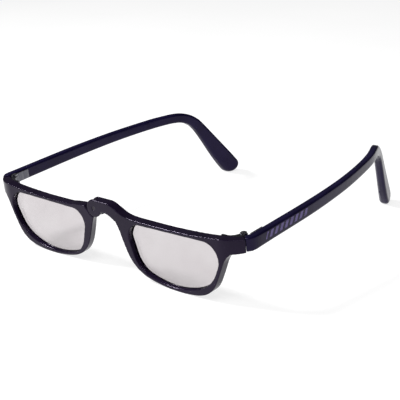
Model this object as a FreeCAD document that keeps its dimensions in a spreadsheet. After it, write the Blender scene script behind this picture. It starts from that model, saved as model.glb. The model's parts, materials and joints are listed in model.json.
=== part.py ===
"""Folding reading glasses: two rimmed halves joined by a pivot over the nose, two folding temples.

Everything is drawn with the front upright: X to the right, Y back along the temples, Z up, with
Y = 0 on the front face, X = 0 in the middle of the nose and Z = 0 at mid lens. One placement then
leans the whole object until the rims and the temple tips stand on Z = 0, with the origin in the
middle of its length.
"""
import FreeCAD, Part
import math
import os
import Sketcher
from FreeCAD import Placement, Rotation, Vector

DIMENSIONS = [
    # lenses and rims
    ("lens_offset", 35.0, "middle of the nose to the middle of a lens"),
    ("rim_depth", 4.1, "front face to back face of a rim"),
    ("groove_start", 2.0, "front face to the lens groove"),
    ("groove_width", 1.1, "width of the lens groove"),
    ("groove_depth", 0.6, "depth of the lens groove"),
    ("lens_play", 0.05, "gap between a lens and the opening it fills"),
    ("lens_apex", 1.25, "front face of the rim to the top of the lens curve"),
    ("lens_thickness", 2.1, "thickness in the middle of a lens"),
    ("lens_front_curve", 260.0, "radius of a lens's front surface"),
    ("lens_back_curve", 520.0, "radius of a lens's back surface"),
    # pivot between the halves
    ("pivot_side", 5.8, "pivot axis to the left of the nose's middle"),
    ("pivot_height", 12.8, "pivot axis above mid lens"),
    ("eye_radius", 3.75, "round eye at the end of the bridge arm"),
    ("socket_radius", 3.95, "hollow in the left rim round the eye"),
    ("slot_start", 1.1, "front face to the slot in the eye"),
    ("slot_width", 1.9, "slot in the eye for tongue and washers"),
    ("slot_radius", 3.85, "reach of the slot from the pivot axis"),
    ("tooth_radius", 2.65, "inner end of the stop tooth in the slot"),
    ("tongue_width", 1.3, "thickness of the tongue"),
    ("tongue_radius", 3.45, "reach of the tongue from the pivot axis"),
    ("hub_radius", 2.5, "tongue where the stop tooth passes"),
    ("washer_width", 0.25, "thickness of a friction washer"),
    ("side_play", 0.05, "gap between a washer and the eye"),
    ("washer_radius", 2.3, "outside of a friction washer"),
    ("rivet_radius", 0.75, "shank of the bridge rivet"),
    ("rivet_head_radius", 1.7, "head of the bridge rivet"),
    ("rivet_sink", 0.15, "front end of the rivet below the face of the eye"),
    ("rivet_head_height", 0.55, "head of the bridge rivet, sunk in the back of the eye"),
    ("turning_gap", 0.05, "radial gap of a turning fit"),
    # end pieces and hinges
    ("end_bottom", 8.0, "underside of an end piece above mid lens"),
    ("end_height", 5.9, "height of an end piece"),
    ("hinge_side", 64.6, "hinge axis from the nose's middle"),
    ("hinge_back", 8.2, "hinge axis behind the front face"),
    ("mitre_reach", 5.2, "hinge axis to the outer end of the mitred joint"),
    ("mitre_gap", 0.12, "gap in the mitred joint"),
    ("barrel_radius", 1.55, "hinge barrel"),
    ("barrel_clear", 1.75, "room round a turning barrel"),
    ("barrel_bottom", 9.6, "underside of the hinge barrel above mid lens"),
    ("knuckle", 1.4, "height of an outer knuckle"),
    ("knuckle_gap", 0.05, "gap between two knuckles"),
    ("inner_knuckle", 1.45, "height of the temple leaf's knuckle"),
    ("leaf_bottom", 9.8, "underside of a hinge leaf above mid lens"),
    ("leaf_height", 3.9, "height of a hinge leaf"),
    ("leaf_width", 0.9, "thickness of a hinge leaf"),
    ("screw_radius", 0.6, "shank of a hinge screw"),
    ("screw_head_radius", 1.3, "head of a hinge screw"),
    ("screw_head_height", 0.6, "height of a hinge screw's head"),
    ("screw_slot", 0.4, "width of the slot in the head"),
    ("pin_radius", 0.6, "pin that holds a hinge leaf"),
    ("pin_length", 3.1, "length of such a pin"),
    # temples
    ("temple_side", 68.7, "centre of a temple from the nose's middle"),
    ("temple_width", 3.6, "thickness of a temple at the hinge"),
    ("temple_top", 14.4, "top of a temple above mid lens"),
    ("plan_width", 32.0, "width of the blank that a temple's plan is cut from"),
    ("plan_height", 60.0, "height of that blank"),
    # standing
    ("lean", 4.5, "degrees that the front leans forward when the glasses stand"),
    ("lift", 13.37, "mid lens above the surface it stands on"),
    ("stand_back", 69.06, "front face to the middle of the whole length"),
]

doc = FreeCAD.newDocument("folding_readers")
sheet = doc.addObject("Spreadsheet::Sheet", "sheet")
for row, (alias, value, note) in enumerate(DIMENSIONS, start=1):
    sheet.set(f"A{row}", note)
    sheet.set(f"B{row}", str(value))
    sheet.setAlias(f"B{row}", alias)
doc.recompute()


def size(alias):
    return float(sheet.get(alias))


STANCE = Placement(Vector(0, -size("stand_back"), size("lift")),
                   Rotation(Vector(1, 0, 0), size("lean")))
PIVOT = (-size("pivot_side"), size("pivot_height"))
SIDES = {"left": -1, "right": 1}


# ---------------------------------------------------------------- drawing helpers

def origin_plane(body, role):
    return next(part for part in body.Origin.OriginFeatures if part.Role == role)


def new_body(name):
    body = doc.addObject("PartDesign::Body", name)
    body.Label = name
    body.Placement = STANCE
    return body


def new_sketch(body, role, offset="0"):
    """A sketch on an origin plane, moved along the plane's normal by the expression offset.

    On XZ_Plane the normal points to -Y, so a sketch at Y = a has the offset -a.
    """
    sketch = body.newObject("Sketcher::SketchObject", f"{body.Name}_sketch")
    sketch.AttachmentSupport = (origin_plane(body, role), [""])
    sketch.MapMode = "FlatFace"
    sketch.setExpression("AttachmentOffset.Base.z", offset)
    return sketch


def draw(sketch, edges):
    for edge in edges:
        sketch.addGeometry(edge, False)


def line(start, end):
    return Part.LineSegment(Vector(*start, 0), Vector(*end, 0))


def arc(start, middle, end):
    return Part.Arc(Vector(*start, 0), Vector(*middle, 0), Vector(*end, 0))


def curve(points):
    spline = Part.BSplineCurve()
    spline.interpolate([Vector(*point, 0) for point in points])
    return spline


def polygon(points):
    return [line(a, b) for a, b in zip(points, points[1:] + points[:1])]


def draw_circle(sketch, centre, alias, radius=None):
    """A circle whose radius stays bound to the sheet, to alias or to the expression radius."""
    index = sketch.addGeometry(Part.Circle(Vector(*centre, 0), Vector(0, 0, 1), size(alias)), False)
    named = sketch.addConstraint(Sketcher.Constraint("Radius", index, size(alias)))
    name = f"radius_{index}"
    sketch.renameConstraint(named, name)
    sketch.setExpression(f"Constraints.{name}", radius or f"sheet.{alias}")


def pad(body, sketch, length, reverse=False, middle=False):
    feature = body.newObject("PartDesign::Pad", f"{body.Name}_pad")
    feature.Profile = sketch
    feature.Reversed = reverse
    feature.Midplane = middle
    feature.setExpression("Length", length)
    return feature


def pocket(body, sketch, length, reverse=False):
    """A pocket cuts against its sketch's normal: back from XZ_Plane, down from XY_Plane."""
    feature = body.newObject("PartDesign::Pocket", f"{body.Name}_pocket")
    feature.Profile = sketch
    feature.Reversed = reverse
    feature.setExpression("Length", length)
    return feature


def polar(centre, radius, degrees):
    angle = math.radians(degrees)
    return (centre[0] + radius * math.cos(angle), centre[1] + radius * math.sin(angle))


def polar_arc(centre, radius, start, end):
    middle = (start + end) / 2
    return arc(*(polar(centre, radius, angle) for angle in (start, middle, end)))


def rounded(corners):
    """Straight sides and tangent arcs through corners given as (x, z, radius)."""
    arcs = []
    for index, (x, z, radius) in enumerate(corners):
        corner = Vector(x, z, 0)
        before = (Vector(*corners[index - 1][:2], 0) - corner).normalize()
        after = (Vector(*corners[(index + 1) % len(corners)][:2], 0) - corner).normalize()
        half = before.getAngle(after) / 2
        centre = corner + (before + after).normalize() * (radius / math.sin(half))
        reach = radius / math.tan(half)
        nearest = centre + (corner - centre).normalize() * radius
        arcs.append((corner + before * reach, nearest, corner + after * reach))
    edges = []
    for index, (start, nearest, end) in enumerate(arcs):
        edges.append(Part.Arc(start, nearest, end))
        edges.append(Part.LineSegment(end, arcs[(index + 1) % len(arcs)][0]))
    return edges


def mirrored(side, points):
    return [(side * point[0],) + tuple(point[1:]) for point in points]


# ---------------------------------------------------------------- outlines of one half

# corners of a lens opening from the middle of the lens, outwards and up, with their radii
OPENING = [(26.8, 11.3, 6.7), (18.8, -7.3, 16.3), (-0.2, -14.0, 39.0), (-18.8, -8.6, 10.9),
           (-24.3, 10.4, 6.2)]
# outside of a rim from the end piece round the bottom to the nose, for the right half
RIM_UNDER = [(65.2, 8.4), (63.2, 7.7), (61.4, 5.9), (59.6, 2.2), (57.4, -2.9), (54.5, -8.0),
             (50.2, -11.3), (43.2, -13.0), (35.0, -13.4), (27.0, -12.7), (20.4, -11.2), (15.4, -8.5),
             (12.0, -4.7), (9.9, -0.3), (8.4, 3.7)]
# edge of the nose opening on the front face, and how much further out it is on the back face
NOSE_EDGE = [(5.9, 9.6), (7.6, 5.9), (8.4, 3.7), (9.9, -0.3), (12.0, -4.7), (15.4, -8.5),
             (20.4, -11.2)]
NOSE_SPLAY = {"left": [1.8, 1.6, 1.4, 1.1, 0.9, 0.5, 0.0], "right": [0.0, 0.8, 1.2, 1.1, 0.9, 0.5, 0.0]}
RIM_TOP = [(60.0, 13.9), (52.0, 13.0), (42.0, 12.35), (31.0, 12.05), (21.0, 12.1)]
# cut from the underside of an end piece, which rises to meet the temple
END_UNDERCUT = [(63.0, 8.0), (72.0, 8.9), (72.0, 7.0), (63.0, 7.0)]
# right half only: under and over the bridge arm
ARCH_UNDER = [(8.4, 3.7), (7.3, 6.9), (5.0, 9.9), (1.6, 11.6)]
ARCH_TOP = [(1.0, 16.5), (4.2, 15.9), (7.4, 14.3), (10.6, 12.9), (15.0, 12.2), (21.0, 12.1)]
# left half only: beside the socket
SHOULDER = [(-21.0, 12.1), (-16.0, 12.8)]
NOSE_SIDE = [(-8.4, 3.7), (-7.6, 5.9)]
ARCH_ANGLE = -15.5
SOCKET_TOP = 222.0
SOCKET_BOTTOM = 262.0
SHOULDER_HEIGHT = 13.1
# angles about the pivot: tongue at full reach, and the stop tooth's upper face
TONGUE_START = 172.0
TONGUE_END = 344.0
TOOTH_END = 38.0
# pins of the temple leaf as (y, z), and the round tip of the hook
TEMPLE_PINS = [(12.4, 11.8), (15.4, 11.8)]
TEMPLE_LEAF_END = 17.0
TIP_RADIUS = 4.1
HOOK_SLOPE = (0.5, 0.87)


def right_outline():
    eye = size("eye_radius")
    under_eye = polar(PIVOT, eye, ARCH_ANGLE)
    over_eye = polar(PIVOT, eye, 90)
    return [line(RIM_TOP[0], RIM_UNDER[0]), curve(RIM_UNDER), curve(ARCH_UNDER + [under_eye]),
            polar_arc(PIVOT, eye, ARCH_ANGLE, -270), line(over_eye, ARCH_TOP[0]),
            curve(ARCH_TOP), curve(RIM_TOP[::-1])]


def left_outline():
    """The shoulder beside the socket leans out of the way of the bridge arm at its upper stop."""
    socket = size("socket_radius")
    top = polar(PIVOT, socket, SOCKET_TOP)
    rise = (SHOULDER_HEIGHT - top[1]) / math.sin(math.radians(SOCKET_TOP - 90))
    shoulder = (top[0] + rise * math.cos(math.radians(SOCKET_TOP - 90)), SHOULDER_HEIGHT)
    bottom = polar(PIVOT, socket, SOCKET_BOTTOM)
    rim_under = mirrored(-1, RIM_UNDER)
    rim_top = mirrored(-1, RIM_TOP)
    return [line(rim_top[0], rim_under[0]), curve(rim_under), curve(NOSE_SIDE + [bottom]),
            polar_arc(PIVOT, socket, SOCKET_BOTTOM, SOCKET_TOP), line(top, shoulder),
            curve([shoulder] + SHOULDER[::-1]), curve(rim_top[::-1])]


def hinge_point(side, along, reach=0.0):
    """A point reach from the hinge axis along the mitred joint, or beside it by along."""
    step = math.sqrt(0.5)
    return (side * (size("hinge_side") + (reach + along) * step),
            size("hinge_back") - (reach - along) * step)


def end_piece_outline(side):
    """Plan of an end piece, before its front is curved back to the mitred joint."""
    outer = hinge_point(side, 0, size("mitre_reach") + 1.0)
    inner = hinge_point(side, 0, size("barrel_clear") + 0.45)
    back = mirrored(side, [(64.4, 5.75), (62.4, 4.8), (60.0, size("rim_depth")), (60.0, 0.0)])
    return polygon([(outer[0], 0.0), outer, inner] + back)


def curved_front(side):
    """What is cut away in plan in front of an end piece."""
    outer = hinge_point(side, 0, size("mitre_reach"))
    front = mirrored(side, [(57.5, 0.0), (60.0, 0.12), (63.4, 1.0), (66.3, 2.65)])
    beyond = hinge_point(side, 0, size("mitre_reach") + 2.0)
    return [curve(front + [outer]), line(outer, beyond), line(beyond, (beyond[0], -2.0)),
            line((beyond[0], -2.0), (front[0][0], -2.0)), line((front[0][0], -2.0), front[0])]


# ---------------------------------------------------------------- the moulded halves

def build_half(name, side, outline):
    body = new_body(name)
    sketch = new_sketch(body, "XZ_Plane")
    draw(sketch, outline)
    pad(body, sketch, "sheet.rim_depth", reverse=True)

    sketch = new_sketch(body, "XY_Plane", "sheet.end_bottom")
    draw(sketch, end_piece_outline(side))
    pad(body, sketch, "sheet.end_height")
    sketch = new_sketch(body, "XY_Plane", "sheet.end_bottom + 2 * sheet.end_height")
    draw(sketch, curved_front(side))
    pocket(body, sketch, "8 * sheet.end_height")
    sketch = new_sketch(body, "XZ_Plane")
    draw(sketch, polygon(mirrored(side, END_UNDERCUT)))
    pocket(body, sketch, "3 * sheet.rim_depth")

    middle = side * size("lens_offset")
    sketch = new_sketch(body, "XZ_Plane")
    draw(sketch, rounded([(middle + side * x, z, r) for x, z, r in OPENING]))
    pocket(body, sketch, "sheet.rim_depth")

    sketch = new_sketch(body, "XZ_Plane", "-sheet.groove_start")
    draw(sketch, rounded([(middle + side * x, z, r) for x, z, r in
                          opening_moved_out(size("groove_depth"))]))
    pocket(body, sketch, "sheet.groove_width")

    sketch = new_sketch(body, "XZ_Plane", "-sheet.rim_depth - sheet.leaf_width")
    for centre in front_pin_centres(side):
        draw_circle(sketch, centre, "pin_radius")
    pocket(body, sketch, "sheet.pin_length", reverse=True)
    splay_nose_side(body, side, NOSE_SPLAY[name.split("_")[0]])
    return body


def splay_nose_side(body, side, splay):
    """Slant the side that meets the nose, so that the two rims stand wider apart at the back."""
    sections = []
    for offset, moves in (("0", [0.0] * len(splay)), ("-sheet.rim_depth", splay)):
        edge = [(side * (x + move), z) for (x, z), move in zip(NOSE_EDGE, moves)]
        sketch = new_sketch(body, "XZ_Plane", offset)
        low = (side * 4.0, edge[-1][1] - 1.0)
        draw(sketch, [curve(edge), line(edge[-1], low), line(low, (low[0], edge[0][1])),
                      line((low[0], edge[0][1]), edge[0])])
        sections.append(sketch)
    loft = body.newObject("PartDesign::SubtractiveLoft", f"{body.Name}_splay")
    loft.Profile = sections[0]
    loft.Sections = sections[1:]
    loft.Ruled = True


def opening_moved_out(distance):
    """Move every side of OPENING outwards and meet the neighbours again."""
    count = len(OPENING)
    points = [Vector(x, z, 0) for x, z, _ in OPENING]
    lines = []
    for index in range(count):
        start, end = points[index], points[(index + 1) % count]
        along = (end - start).normalize()
        outward = Vector(-along.y, along.x, 0)
        lines.append((start + outward * distance, along))
    moved = []
    for index in range(count):
        (a, u), (b, v) = lines[index - 1], lines[index]
        cross = u.x * v.y - u.y * v.x
        reach = ((b.x - a.x) * v.y - (b.y - a.y) * v.x) / cross
        corner = a + u * reach
        moved.append((corner.x, corner.y, OPENING[index][2] + distance))
    return moved


def front_pin_centres(side):
    return [(side * 58.7, 10.7), (side * 58.7, 12.8)]


def build_left_front():
    body = build_half("left_front", -1, left_outline())
    sketch = new_sketch(body, "XZ_Plane", "-sheet.slot_start - sheet.side_play - sheet.washer_width")
    hub, reach, root = size("hub_radius"), size("tongue_radius"), size("socket_radius") + 0.5
    first, last = SOCKET_TOP + 2, SOCKET_BOTTOM - 12
    draw(sketch, [
        polar_arc(PIVOT, reach, TONGUE_START, first),
        line(polar(PIVOT, reach, first), polar(PIVOT, root, first)),
        polar_arc(PIVOT, root, first, last),
        line(polar(PIVOT, root, last), polar(PIVOT, reach, last)),
        polar_arc(PIVOT, reach, last, TONGUE_END),
        line(polar(PIVOT, reach, TONGUE_END), polar(PIVOT, hub, TONGUE_END)),
        polar_arc(PIVOT, hub, TONGUE_END, TONGUE_START + 360),
        line(polar(PIVOT, hub, TONGUE_START), polar(PIVOT, reach, TONGUE_START))])
    pad(body, sketch, "sheet.tongue_width", reverse=True)
    cut_pivot_bore(body, "sheet.rivet_radius + sheet.turning_gap")
    return body


def build_right_front():
    body = build_half("right_front", 1, right_outline())
    sketch = new_sketch(body, "XZ_Plane", "-sheet.slot_start")
    slot, tooth = size("slot_radius"), size("tooth_radius")
    first, last = TOOTH_END, 360 + ARCH_ANGLE
    draw(sketch, [
        polar_arc(PIVOT, slot, first, last),
        line(polar(PIVOT, slot, last), polar(PIVOT, tooth, last)),
        polar_arc(PIVOT, tooth, last, first + 360),
        line(polar(PIVOT, tooth, first), polar(PIVOT, slot, first))])
    pocket(body, sketch, "sheet.slot_width")
    cut_pivot_bore(body, "sheet.rivet_radius")
    sketch = new_sketch(body, "XZ_Plane", "-sheet.rim_depth + sheet.rivet_head_height")
    draw_circle(sketch, PIVOT, "rivet_head_radius")
    pocket(body, sketch, "sheet.rivet_head_height")
    return body


def cut_pivot_bore(body, radius):
    sketch = new_sketch(body, "XZ_Plane")
    draw_circle(sketch, PIVOT, "rivet_radius", radius)
    pocket(body, sketch, "sheet.rim_depth")


# ---------------------------------------------------------------- lenses

def build_lens(name, side):
    body = new_body(name)
    middle = side * size("lens_offset")
    play = size("lens_play")
    depth = size("lens_thickness")
    sketch = new_sketch(body, "XZ_Plane", "-sheet.lens_apex")
    draw(sketch, rounded([(middle + side * x, z, r) for x, z, r in opening_moved_out(-play)]))
    pad(body, sketch, "sheet.lens_thickness + 1", reverse=True)
    cut_lens_surface(body, side, size("lens_front_curve"), size("lens_apex"), -1.0)
    cut_lens_surface(body, side, size("lens_back_curve"), size("lens_apex") + depth, 2.0)
    sketch = new_sketch(body, "XZ_Plane", "-sheet.groove_start")
    rim_edge = opening_moved_out(size("groove_depth"))
    draw(sketch, rounded([(middle + side * x, z, r) for x, z, r in rim_edge]))
    draw(sketch, rounded([(middle + side * x, z, r) for x, z, r in opening_moved_out(-3.0)]))
    pad(body, sketch, "sheet.groove_width", reverse=True)
    return body


def cut_lens_surface(body, side, radius, apex, rim):
    """Turn away what lies outside a spherical surface, about the lens's own axis.

    The sketch lies across the lens at its middle, with Y along it and Z up.
    """
    reach = 30.0
    far = apex + radius - math.sqrt(radius ** 2 - reach ** 2)
    half = apex + radius - math.sqrt(radius ** 2 - (reach / 2) ** 2)
    sketch = new_sketch(body, "YZ_Plane", f"{side} * sheet.lens_offset")
    away = apex + rim if rim < 0 else far + rim
    draw(sketch, [arc((apex, 0), (half, reach / 2), (far, reach)),
                  line((far, reach), (away, reach)), line((away, reach), (away, 0)),
                  line((away, 0), (apex, 0))])
    feature = body.newObject("PartDesign::Groove", f"{body.Name}_groove")
    feature.Profile = sketch
    feature.ReferenceAxis = (sketch, ["H_Axis"])
    feature.Angle = 360.0
    return feature


# ---------------------------------------------------------------- pivot hardware

def build_washers():
    body = new_body("bridge_friction_washers")
    for start in ("-sheet.slot_start - sheet.side_play",
                  "-sheet.slot_start - sheet.side_play - sheet.washer_width - sheet.tongue_width"):
        sketch = new_sketch(body, "XZ_Plane", start)
        draw_circle(sketch, PIVOT, "washer_radius")
        draw_circle(sketch, PIVOT, "rivet_radius", "sheet.rivet_radius + sheet.turning_gap")
        pad(body, sketch, "sheet.washer_width", reverse=True)
    return body


def build_rivet():
    body = new_body("bridge_rivet")
    sketch = new_sketch(body, "XZ_Plane", "-sheet.rivet_sink")
    draw_circle(sketch, PIVOT, "rivet_radius")
    pad(body, sketch, "sheet.rim_depth - sheet.rivet_sink", reverse=True)
    sketch = new_sketch(body, "XZ_Plane", "-sheet.rim_depth + sheet.rivet_head_height")
    draw_circle(sketch, PIVOT, "rivet_head_radius")
    pad(body, sketch, "sheet.rivet_head_height", reverse=True)
    return body


# ---------------------------------------------------------------- hinges

def build_front_leaf(name, side):
    """Leaf behind an end piece, with the outer two knuckles of the barrel."""
    body = new_body(name)
    axis = (side * size("hinge_side"), size("hinge_back"))
    depth = size("rim_depth")
    behind = depth + size("leaf_width")
    sketch = new_sketch(body, "XY_Plane", "sheet.leaf_bottom")
    draw(sketch, polygon(mirrored(side, [
        (57.4, depth), (60.0, depth), (62.4, 4.8), (64.0, 5.56), (65.3, 6.9), (63.2, 8.6),
        (62.0, 6.3), (61.0, behind + 0.4), (60.0, behind), (57.4, behind)])))
    pad(body, sketch, "sheet.leaf_height")
    sketch = new_sketch(body, "XY_Plane", "sheet.barrel_bottom")
    draw_circle(sketch, axis, "barrel_radius")
    pad(body, sketch, "2 * sheet.knuckle + sheet.inner_knuckle + 2 * sheet.knuckle_gap")
    sketch = new_sketch(body, "XY_Plane", "sheet.barrel_bottom + sheet.knuckle")
    draw_circle(sketch, axis, "barrel_clear")
    pocket(body, sketch, "sheet.inner_knuckle + 2 * sheet.knuckle_gap", reverse=True)
    sketch = new_sketch(body, "XY_Plane", "sheet.barrel_bottom")
    draw_circle(sketch, axis, "screw_radius")
    pocket(body, sketch, "4 * sheet.knuckle", reverse=True)
    sketch = new_sketch(body, "XZ_Plane", "-sheet.rim_depth - sheet.leaf_width")
    for centre in front_pin_centres(side):
        draw_circle(sketch, centre, "pin_radius")
    pocket(body, sketch, "sheet.leaf_width", reverse=True)
    return body


def build_temple_leaf(name, side):
    """Leaf on the inside of a temple, with the middle knuckle of the barrel."""
    body = new_body(name)
    axis = (side * size("hinge_side"), size("hinge_back"))
    inside = size("temple_side") - size("temple_width") / 2
    face = inside - size("leaf_width")
    sketch = new_sketch(body, "XY_Plane", "sheet.leaf_bottom")
    draw(sketch, polygon(mirrored(side, [(inside, 10.2), (inside, TEMPLE_LEAF_END), (face, TEMPLE_LEAF_END), (face, 10.2)])))
    pad(body, sketch, "sheet.leaf_height")
    sketch = new_sketch(body, "XY_Plane", "sheet.barrel_bottom + sheet.knuckle + sheet.knuckle_gap")
    draw(sketch, polygon(mirrored(side, [
        (inside, 11.0), (inside, 8.8), (65.5, 7.4), (63.8, 9.2), (face, 11.0)])))
    pad(body, sketch, "sheet.inner_knuckle")
    sketch = new_sketch(body, "XY_Plane", "sheet.barrel_bottom + sheet.knuckle + sheet.knuckle_gap")
    draw_circle(sketch, axis, "barrel_radius")
    pad(body, sketch, "sheet.inner_knuckle")
    sketch = new_sketch(body, "XY_Plane", "sheet.barrel_bottom")
    draw_circle(sketch, axis, "screw_radius", "sheet.screw_radius + sheet.turning_gap")
    pocket(body, sketch, "4 * sheet.knuckle", reverse=True)
    sketch = new_sketch(body, "YZ_Plane", temple_leaf_offset(side))
    for centre in TEMPLE_PINS:
        draw_circle(sketch, centre, "pin_radius")
    pocket(body, sketch, "sheet.leaf_width", reverse=side > 0)
    return body


def temple_leaf_offset(side):
    return f"{side} * (sheet.temple_side - sheet.temple_width / 2 - sheet.leaf_width)"


def build_screw(name, side):
    body = new_body(name)
    axis = (side * size("hinge_side"), size("hinge_back"))
    barrel = "2 * sheet.knuckle + sheet.inner_knuckle + 2 * sheet.knuckle_gap"
    sketch = new_sketch(body, "XY_Plane", "sheet.barrel_bottom")
    draw_circle(sketch, axis, "screw_radius")
    pad(body, sketch, barrel)
    sketch = new_sketch(body, "XY_Plane", f"sheet.barrel_bottom + {barrel}")
    draw_circle(sketch, axis, "screw_head_radius")
    pad(body, sketch, "sheet.screw_head_height")
    sketch = new_sketch(body, "XY_Plane", f"sheet.barrel_bottom + {barrel} + sheet.screw_head_height")
    reach, half = size("screw_head_radius") + 0.2, size("screw_slot") / 2
    draw(sketch, polygon([(axis[0] - reach, axis[1] - half), (axis[0] + reach, axis[1] - half),
                          (axis[0] + reach, axis[1] + half), (axis[0] - reach, axis[1] + half)]))
    pocket(body, sketch, "sheet.screw_head_height / 2")
    return body


def build_front_pins(name, side):
    body = new_body(name)
    for centre in front_pin_centres(side):
        sketch = new_sketch(body, "XZ_Plane", "-sheet.rim_depth - sheet.leaf_width")
        draw_circle(sketch, centre, "pin_radius")
        pad(body, sketch, "sheet.pin_length")
    return body


def build_temple_pins(name, side):
    body = new_body(name)
    for centre in TEMPLE_PINS:
        sketch = new_sketch(body, "YZ_Plane", temple_leaf_offset(side))
        draw_circle(sketch, centre, "pin_radius")
        pad(body, sketch, "sheet.pin_length", reverse=side < 0)
    return body


# ---------------------------------------------------------------- temples

def build_temple(name, side):
    """Side view cut to the plan view: the side view gives the hook, the plan the inward curve."""
    body = new_body(name)
    sketch = new_sketch(body, "YZ_Plane", f"{side} * (sheet.temple_side + 5)")
    draw(sketch, temple_side_view())
    pad(body, sketch, "sheet.plan_width", reverse=side > 0)
    sketch = new_sketch(body, "XY_Plane", "sheet.temple_top + 5")
    draw(sketch, temple_plan(side))
    blank = mirrored(side, [(38.0, -5.0), (80.0, -5.0), (80.0, 150.0), (38.0, 150.0)])
    draw(sketch, polygon(blank))
    pocket(body, sketch, "sheet.plan_height")
    sketch = new_sketch(body, "YZ_Plane", temple_leaf_offset(side))
    for centre in TEMPLE_PINS:
        draw_circle(sketch, centre, "pin_radius")
    pocket(body, sketch, "sheet.pin_length", reverse=side > 0)
    return body


def temple_side_view():
    tip = (134.2, -19.86)
    start = math.degrees(math.atan2(*HOOK_SLOPE))
    back = polar(tip, TIP_RADIUS, start)
    front = polar(tip, TIP_RADIUS, start - 180)
    top = size("temple_top")
    upper = [(98.0, top), (106.0, 14.3), (112.5, 13.4), (118.2, 10.0), (123.0, 4.1), (127.8, -2.9),
             (132.4, -9.6), back]
    lower = [front, (125.6, -13.2), (121.9, -5.6), (118.5, 1.2), (114.5, 6.7), (109.5, 9.2),
             (104.0, 9.7), (95.0, 9.7), (60.0, 9.4), (25.0, 9.1), (14.0, 9.0), (4.0, 8.8)]
    return [line((4.0, top), upper[0]), curve(upper), polar_arc(tip, TIP_RADIUS, start, start - 180),
            curve(lower), line(lower[-1], (4.0, top))]


def temple_plan(side):
    """Plan of a temple from the mitred joint, out and back along the outside, in along the inside."""
    gap = size("mitre_gap")
    outer = hinge_point(side, gap, size("mitre_reach"))
    inner = hinge_point(side, gap, size("barrel_clear") + 0.5)
    outside = mirrored(side, [(69.75, 6.4), (70.4, 9.0), (70.5, 12.5), (70.5, 28.0), (70.4, 45.0),
                              (69.6, 60.0), (68.7, 70.0), (67.3, 80.0), (65.5, 90.0), (63.2, 100.0),
                              (58.0, 113.7), (53.2, 126.0), (48.8, 138.5)])
    inside = mirrored(side, [(42.7, 138.5), (48.6, 126.0), (54.0, 113.7), (59.7, 100.0), (62.3, 90.0),
                             (64.1, 80.0), (65.4, 70.0), (66.2, 60.0), (66.8, 45.0), (66.9, 28.0)])
    root = mirrored(side, [(66.9, 28.0), (66.9, 8.6)])
    return [curve([outer] + outside), line(outside[-1], inside[0]), curve(inside),
            line(*root), line(root[1], inner), line(inner, outer)]


# ---------------------------------------------------------------- the whole object

parts = [build_left_front(), build_right_front(), build_washers(), build_rivet()]
for label, sign in SIDES.items():
    parts.append(build_lens(f"{label}_lens", sign))
    parts.append(build_front_leaf(f"{label}_front_hinge_leaf", sign))
    parts.append(build_front_pins(f"{label}_front_leaf_pins", sign))
    parts.append(build_temple_leaf(f"{label}_temple_hinge_leaf", sign))
    parts.append(build_temple_pins(f"{label}_temple_leaf_pins", sign))
    parts.append(build_screw(f"{label}_hinge_screw", sign))
    parts.append(build_temple(f"{label}_temple", sign))
doc.recompute()

for item in doc.Objects:
    if {"Invalid", "Error"} & set(item.State):
        raise SystemExit(f"{item.Name} ({item.TypeId}) failed: {item.State}")
os.makedirs("parts", exist_ok=True)
for part in parts:
    shape = part.Shape
    if shape.isNull() or not shape.isValid():
        raise SystemExit(f"{part.Label} has no valid shape")
    shape.exportStep(f"parts/{part.Label}.step")
    box = shape.BoundBox
    print(f"{part.Label:28s} {shape.Volume:8.2f} mm3  {len(shape.Solids)} solid(s)  "
          f"z {box.ZMin:.2f} to {box.ZMax:.2f}")
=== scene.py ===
"""Folding reading glasses: two rimmed halves on a pivot over the nose, and two hinged temples.

The moulded halves and temples are the frame's own shapes with their edges rounded. The hinges, the
screws, the rivet and the washers are the frame's own nodes with their finishes.
"""
import json
import math

import bpy
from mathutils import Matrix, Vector


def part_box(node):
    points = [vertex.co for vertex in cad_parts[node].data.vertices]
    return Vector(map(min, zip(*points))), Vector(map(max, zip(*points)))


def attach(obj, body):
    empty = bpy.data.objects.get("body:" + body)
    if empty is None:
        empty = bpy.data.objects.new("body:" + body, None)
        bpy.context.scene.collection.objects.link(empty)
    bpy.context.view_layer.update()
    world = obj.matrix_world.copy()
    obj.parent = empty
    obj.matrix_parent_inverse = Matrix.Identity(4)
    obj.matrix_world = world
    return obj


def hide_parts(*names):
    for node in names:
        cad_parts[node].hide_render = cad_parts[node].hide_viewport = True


MM = 0.001

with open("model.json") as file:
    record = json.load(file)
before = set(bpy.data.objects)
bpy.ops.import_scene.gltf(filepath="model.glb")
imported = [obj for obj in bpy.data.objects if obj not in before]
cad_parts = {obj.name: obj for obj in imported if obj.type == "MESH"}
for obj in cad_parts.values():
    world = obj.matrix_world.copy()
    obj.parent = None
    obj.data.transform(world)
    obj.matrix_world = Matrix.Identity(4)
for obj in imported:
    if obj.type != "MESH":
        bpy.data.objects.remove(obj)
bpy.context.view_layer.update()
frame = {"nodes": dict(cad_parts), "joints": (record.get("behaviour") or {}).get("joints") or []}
nodes = frame["nodes"]
joints = {joint["name"]: joint for joint in frame["joints"]}

# finishes, as dark and light ends of each one's own variation
NAVY = (0.0040, 0.0028, 0.0165), (0.0085, 0.0060, 0.0330)
PLUM = (0.0050, 0.0028, 0.0100), (0.0105, 0.0065, 0.0190)
HINGE_STEEL = (0.10, 0.10, 0.12), (0.17, 0.17, 0.19)
SCREW_STEEL = (0.30, 0.30, 0.33), (0.42, 0.42, 0.45)
RIVET_STEEL = (0.03, 0.028, 0.035), (0.055, 0.05, 0.06)
NYLON = (0.60, 0.57, 0.51), (0.70, 0.67, 0.61)
LENS_TINT = (0.555, 0.52, 0.533), (0.595, 0.565, 0.577)
FLOOR_GREY = (0.30, 0.30, 0.30), (0.32, 0.32, 0.32)
LILAC = (0.13, 0.10, 0.26)
WHITE = (1.0, 1.0, 1.0, 1.0)
PLASTIC_IOR = 1.49
LENS_IOR = 1.5

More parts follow.
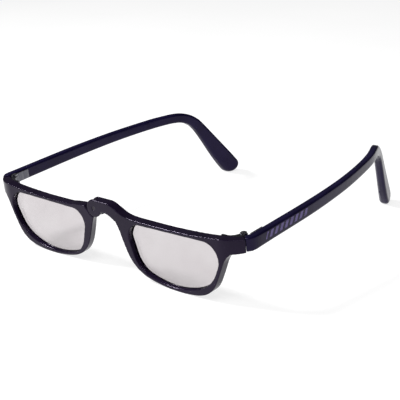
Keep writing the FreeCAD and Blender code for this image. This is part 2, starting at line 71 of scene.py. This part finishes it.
# the printed band on the outside of the right temple, which leans back as the front does
right_hinge = Vector(joints["right_temple_fold"]["pos_m"])
right_hinge_axis = Vector(joints["right_temple_fold"]["axis"]).normalized()
BAND_START = right_hinge.y + 5.8 * MM
BAND_LENGTH = 27.0 * MM
BAND_SLOPE = math.tan(math.asin(-right_hinge_axis.y))
BAND_HEIGHT = right_hinge.z + 0.4 * MM - right_hinge.y * BAND_SLOPE
BAR_PITCH = 3.1 * MM
BAR_HEIGHT = 2.6 * MM
BAR_HALF_WIDTH = 0.26 * BAR_PITCH
BAR_SLANT = -0.45

# shaping of the mouldings
WELD = 0.002 * MM
SHARP = math.radians(28)
FRONT_GRAIN, FRONT_PASSES = 0.17 * MM, 12
TEMPLE_GRAIN, TEMPLE_PASSES = 0.2 * MM, 6
LENS_GRAIN, LENS_PASSES = 0.25 * MM, 10
TEMPLE_ROUND = 0.9 * MM
HINGE_END = 3 * MM
HOOK_LENGTH = 40 * MM


# ---------------------------------------------------------------- materials

def new_material(name):
    """A new material with its node tree, its shader and its Object coordinates."""
    material = bpy.data.materials.new(name)
    material.use_nodes = True
    tree = material.node_tree
    shader = tree.nodes["Principled BSDF"]
    place = tree.nodes.new("ShaderNodeTexCoord")
    return material, tree, shader, place


def noise(tree, place, scale, detail=3.0, stretch=None):
    """A cloudy pattern, finer with a larger scale, drawn out along an axis by a small stretch."""
    texture = tree.nodes.new("ShaderNodeTexNoise")
    texture.inputs["Scale"].default_value = scale
    texture.inputs["Detail"].default_value = detail
    source = place.outputs["Object"]
    if stretch:
        mapping = tree.nodes.new("ShaderNodeMapping")
        mapping.inputs["Scale"].default_value = stretch
        tree.links.new(source, mapping.inputs["Vector"])
        source = mapping.outputs["Vector"]
    tree.links.new(source, texture.inputs["Vector"])
    return texture.outputs["Fac"]


def ramp(tree, value, low, high, start=0.35, end=0.65):
    """A colour or a grey between low and high, as value goes from start to end."""
    node = tree.nodes.new("ShaderNodeValToRGB")
    for element, position, shade in zip(node.color_ramp.elements, (start, end), (low, high)):
        element.position = position
        element.color = (shade, shade, shade, 1) if isinstance(shade, float) else (*shade, 1)
    tree.links.new(value, node.inputs["Fac"])
    return node.outputs["Color"]


def bump(tree, value, shader, distance, strength):
    """Small relief of the surface, distance high where value is 1."""
    node = tree.nodes.new("ShaderNodeBump")
    node.inputs["Strength"].default_value = strength
    node.inputs["Distance"].default_value = distance
    tree.links.new(value, node.inputs["Height"])
    tree.links.new(node.outputs["Normal"], shader.inputs["Normal"])


def moulded_plastic(name, colours):
    """Glossy injection-moulded plastic: faint flow marks, a fine ripple and dull handled patches."""
    material, tree, shader, place = new_material(name)
    colour = ramp(tree, noise(tree, place, 90.0, 5.0), *colours, 0.3, 0.7)
    tree.links.new(colour, shader.inputs["Base Color"])
    dull = ramp(tree, noise(tree, place, 160.0, 6.0), 0.10, 0.22, 0.3, 0.72)
    tree.links.new(dull, shader.inputs["Roughness"])
    bump(tree, noise(tree, place, 420.0, 2.0), shader, 0.04 * MM, 0.35)
    shader.inputs["IOR"].default_value = PLASTIC_IOR
    shader.inputs["Specular IOR Level"].default_value = 0.2
    shader.inputs["Specular Tint"].default_value = (0.80, 0.68, 1.0, 1.0)
    return material, tree, shader, place, colour


def steel(name, colours, smooth, rough):
    """Turned or drawn steel with a fine grain in both its colour and its gloss."""
    material, tree, shader, place = new_material(name)
    grain = noise(tree, place, 900.0, 4.0, (1.0, 1.0, 0.15))
    tree.links.new(ramp(tree, grain, *colours), shader.inputs["Base Color"])
    tree.links.new(ramp(tree, grain, smooth, rough), shader.inputs["Roughness"])
    shader.inputs["Metallic"].default_value = 1.0
    bump(tree, grain, shader, 0.02 * MM, 0.4)
    return material


def math_node(tree, operation, first, second=None, third=None):
    """One math node doing the given operation on up to three values, each a number or another node's
    output.
    """
    node = tree.nodes.new("ShaderNodeMath")
    node.operation = operation
    for socket, value in zip(node.inputs, (first, second, third)):
        if isinstance(value, (int, float)):
            socket.default_value = value
        elif value is not None:
            tree.links.new(value, socket)
    return node.outputs[0]


def ornament_band(material, tree, shader, place, colour):
    """The plastic with a worn row of slanted bars printed where the surface faces outwards."""
    split = tree.nodes.new("ShaderNodeSeparateXYZ")
    tree.links.new(place.outputs["Object"], split.inputs[0])
    facing = tree.nodes.new("ShaderNodeSeparateXYZ")
    tree.links.new(place.outputs["Normal"], facing.inputs[0])
    _, y, z = split.outputs
    along = math_node(tree, "ADD", y, -BAND_START)
    band_middle = math_node(tree, "MULTIPLY_ADD", y, BAND_SLOPE, BAND_HEIGHT)
    up = math_node(tree, "SUBTRACT", z, band_middle)
    slanted = math_node(tree, "MULTIPLY_ADD", up, BAR_SLANT, along)
    wave = math_node(tree, "PINGPONG", slanted, BAR_PITCH / 2)
    bar = math_node(tree, "LESS_THAN", wave, BAR_HALF_WIDTH)
    tall = math_node(tree, "LESS_THAN", math_node(tree, "ABSOLUTE", up), BAR_HEIGHT / 2)
    begun = math_node(tree, "GREATER_THAN", slanted, 0.0)
    ended = math_node(tree, "LESS_THAN", slanted, BAND_LENGTH)
    outside = math_node(tree, "GREATER_THAN", facing.outputs[0], 0.8)
    mask = bar
    for limit in (tall, begun, ended, outside):
        mask = math_node(tree, "MULTIPLY", mask, limit)
    worn = ramp(tree, noise(tree, place, 900.0, 4.0), 0.55, 1.0, 0.35, 0.5)
    mask = math_node(tree, "MULTIPLY", mask, worn)
    mix = tree.nodes.new("ShaderNodeMix")
    mix.data_type = "RGBA"
    tree.links.new(mask, mix.inputs["Factor"])
    tree.links.new(colour, mix.inputs["A"])
    mix.inputs["B"].default_value = (*LILAC, 1)
    tree.links.new(mix.outputs["Result"], shader.inputs["Base Color"])
    return material


def washer_nylon():
    """Milky nylon with fine specks."""
    material, tree, shader, place = new_material("washer_nylon")
    speck = noise(tree, place, 1500.0, 3.0)
    tree.links.new(ramp(tree, speck, *NYLON), shader.inputs["Base Color"])
    tree.links.new(ramp(tree, speck, 0.45, 0.6), shader.inputs["Roughness"])
    bump(tree, speck, shader, 0.03 * MM, 0.3)
    return material


def lens_glass():
    """Clear moulded lens with a faint warm grey tint and slight polishing marks."""
    material, tree, shader, place = new_material("lens_glass")
    cloud = noise(tree, place, 60.0, 2.0)
    tree.links.new(ramp(tree, cloud, *LENS_TINT), shader.inputs["Base Color"])
    polish = ramp(tree, noise(tree, place, 500.0, 4.0), 0.01, 0.035)
    tree.links.new(polish, shader.inputs["Roughness"])
    shader.inputs["Transmission Weight"].default_value = 1.0
    shader.inputs["IOR"].default_value = LENS_IOR
    return material


temple_plastic = moulded_plastic("temple_plastic", NAVY)[0]
marked_plastic = ornament_band(*moulded_plastic("marked_temple_plastic", NAVY))
front_plastic = moulded_plastic("front_plastic", PLUM)[0]
hinge_metal = steel("hinge_metal", HINGE_STEEL, 0.28, 0.42)
screw_metal = steel("screw_metal", SCREW_STEEL, 0.18, 0.3)
rivet_metal = steel("rivet_metal", RIVET_STEEL, 0.3, 0.5)
nylon = washer_nylon()
glass = lens_glass()


# ---------------------------------------------------------------- making the pieces

def only(obj):
    """Select and activate one object."""
    bpy.ops.object.select_all(action="DESELECT")
    bpy.context.view_layer.objects.active = obj
    obj.select_set(True)


def copy_of(node, name):
    """A copy of a frame node with its points joined and its sharp edges selected."""
    source = nodes[node]
    piece = bpy.data.objects.new(name, source.data.copy())
    bpy.context.scene.collection.objects.link(piece)
    only(piece)
    bpy.ops.object.mode_set(mode="EDIT")
    bpy.ops.mesh.select_mode(type="EDGE")
    bpy.ops.mesh.select_all(action="SELECT")
    bpy.ops.mesh.remove_doubles(threshold=WELD)
    bpy.ops.mesh.select_all(action="DESELECT")
    bpy.ops.mesh.edges_select_sharp(sharpness=SHARP)
    bpy.ops.object.mode_set(mode="OBJECT")
    return piece


def apply_modifier(piece, modifier):
    only(piece)
    bpy.ops.object.modifier_apply(modifier=modifier.name)


def neighbours(mesh):
    """The faces on each side of every edge, by the edge's points."""
    sides = {}
    for face in mesh.polygons:
        for key in face.edge_keys:
            sides.setdefault(key, []).append(face)
    return sides


def round_edges(piece, width, weight_of):
    """Round the selected edges by width times weight_of(middle, faces beside it)."""
    mesh = piece.data
    sides = neighbours(mesh)
    weights = mesh.attributes.new("bevel_weight_edge", "FLOAT", "EDGE")
    for edge in mesh.edges:
        if edge.select:
            start, end = (mesh.vertices[index].co for index in edge.vertices)
            weights.data[edge.index].value = weight_of((start + end) / 2, sides[edge.key])
    bevel = piece.modifiers.new("rounding", "BEVEL")
    bevel.limit_method = "WEIGHT"
    bevel.width = width
    bevel.segments = 5
    bevel.use_clamp_overlap = False
    bevel.loop_slide = False
    apply_modifier(piece, bevel)


def mould(piece, grain, passes):
    """One even skin of small faces over the piece, eased along its edges as a moulding is."""
    skin = piece.modifiers.new("skin", "REMESH")
    skin.mode = "VOXEL"
    skin.voxel_size = grain
    apply_modifier(piece, skin)
    ease = piece.modifiers.new("ease", "SMOOTH")
    ease.factor = 0.5
    ease.iterations = passes
    apply_modifier(piece, ease)
    bpy.ops.object.shade_smooth()


def finish_piece(piece, body, material, replaced):
    """Give a piece its finish, the body it moves with, and the node it stands for."""
    piece.data.materials.clear()
    piece.data.materials.append(material)
    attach(piece, body)
    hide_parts(replaced)


def make_front(side):
    """One moulded half: its rim, end piece and share of the bridge."""
    piece = copy_of(f"{side}_front", f"{side}_rim")
    mould(piece, FRONT_GRAIN, FRONT_PASSES)
    finish_piece(piece, f"{side}_half", front_plastic, f"{side}_front")


def temple_weight(side):
    """How much each sharp edge of a temple is rounded: most at the hook, least at the joint."""
    hinge = Vector(joints[f"{side}_temple_fold"]["pos_m"])
    hook_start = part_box(f"{side}_temple")[1].y - HOOK_LENGTH
    away_from_mitre = Vector((math.copysign(1, hinge.x), 1, 0))

    def weight(middle, faces):
        if middle.y < hinge.y + HINGE_END:
            mitred = any(face.normal.dot(away_from_mitre) < -1.2 for face in faces)
            return 0.1 if mitred else 0.7
        return 1.0 + 1.2 * min(1.0, max(0.0, (middle.y - hook_start) / HOOK_LENGTH))

    return weight


def make_temple(side, material):
    """One moulded temple with its ear hook."""
    piece = copy_of(f"{side}_temple", f"{side}_temple_moulding")
    round_edges(piece, TEMPLE_ROUND, temple_weight(side))
    mould(piece, TEMPLE_GRAIN, TEMPLE_PASSES)
    finish_piece(piece, f"{side}_temple_arm", material, f"{side}_temple")


def make_lens(side):
    """One lens, with its faces made even so that it shines evenly."""
    piece = copy_of(f"{side}_lens", f"{side}_reading_lens")
    mould(piece, LENS_GRAIN, LENS_PASSES)
    finish_piece(piece, f"{side}_half", glass, f"{side}_lens")


def dress(material, *names):
    """Give the frame's own nodes a finish."""
    for name in names:
        data = nodes[name].data
        data.materials.clear()
        data.materials.append(material)


for side, plastic in (("left", temple_plastic), ("right", marked_plastic)):
    make_front(side)
    make_temple(side, plastic)
    make_lens(side)
    dress(hinge_metal, f"{side}_front_hinge_leaf", f"{side}_front_leaf_pins",
          f"{side}_temple_hinge_leaf", f"{side}_temple_leaf_pins")
    dress(screw_metal, f"{side}_hinge_screw")
dress(rivet_metal, "bridge_rivet")
dress(nylon, "bridge_friction_washers")


# ---------------------------------------------------------------- floor, light and camera

def pale_floor():
    """A wide plain floor that is nearly white by itself, so that shadows on it stay faint."""
    bpy.ops.object.select_all(action="DESELECT")
    bpy.ops.mesh.primitive_plane_add(size=6.0, location=(0, 1.0, 0))
    floor = bpy.context.object
    floor.name = "floor"
    material, tree, shader, place = new_material("pale_floor")
    tint = ramp(tree, noise(tree, place, 8.0), *FLOOR_GREY)
    tree.links.new(tint, shader.inputs["Base Color"])
    shader.inputs["Roughness"].default_value = 0.9
    shader.inputs["Specular IOR Level"].default_value = 0.1
    shader.inputs["Emission Color"].default_value = WHITE
    shader.inputs["Emission Strength"].default_value = 0.8
    floor.data.materials.append(material)


def soft_light(name, place, target, width, power):
    """A square soft light at place, turned to target."""
    data = bpy.data.lights.new(name, "AREA")
    data.shape = "SQUARE"
    data.size = width
    data.energy = power
    lamp = bpy.data.objects.new(name, data)
    bpy.context.scene.collection.objects.link(lamp)
    lamp.location = place
    lamp.rotation_euler = (Vector(target) - Vector(place)).to_track_quat("-Z", "Y").to_euler()


def camera_at(azimuth, elevation, roll, distance, target, lens):
    """A camera that looks at target from azimuth (to the right of the front) and elevation."""
    turn, rise = math.radians(azimuth), math.radians(elevation)
    level = math.cos(rise)
    away = Vector((math.sin(turn) * level, -math.cos(turn) * level, math.sin(rise)))
    data = bpy.data.cameras.new("camera")
    data.lens = lens
    data.clip_start = 0.01
    camera = bpy.data.objects.new("camera", data)
    bpy.context.scene.collection.objects.link(camera)
    camera.location = Vector(target) + away * distance
    camera.rotation_euler = (-away).to_track_quat("-Z", "Y").to_euler()
    camera.rotation_euler.rotate_axis("Z", math.radians(roll))
    bpy.context.scene.camera = camera


def studio():
    """A floor, two soft lights, and a world that is bright to look at but lights little."""
    pale_floor()
    world = bpy.data.worlds.new("studio")
    world.use_nodes = True
    tree = world.node_tree
    backdrop = tree.nodes["Background"]
    rays = tree.nodes.new("ShaderNodeLightPath")
    shade = tree.nodes.new("ShaderNodeMapRange")
    tree.links.new(rays.outputs["Is Camera Ray"], shade.inputs["Value"])
    shade.inputs["To Min"].default_value = 0.06
    shade.inputs["To Max"].default_value = 0.86
    tree.links.new(shade.outputs["Result"], backdrop.inputs["Strength"])
    backdrop.inputs["Color"].default_value = WHITE
    bpy.context.scene.world = world
    middle = (0, 0, 0.02)
    soft_light("key", (0.25, -0.5, 0.75), middle, 0.5, 4.5)
    soft_light("fill", (-0.56, -0.35, 0.66), middle, 0.16, 9.0)
    bpy.context.scene.view_settings.view_transform = "Standard"


studio()
camera_at(azimuth=41.44, elevation=18.53, roll=-2.42, distance=0.4072,
          target=(0.0152, -0.0290, 0.0222), lens=87.6)
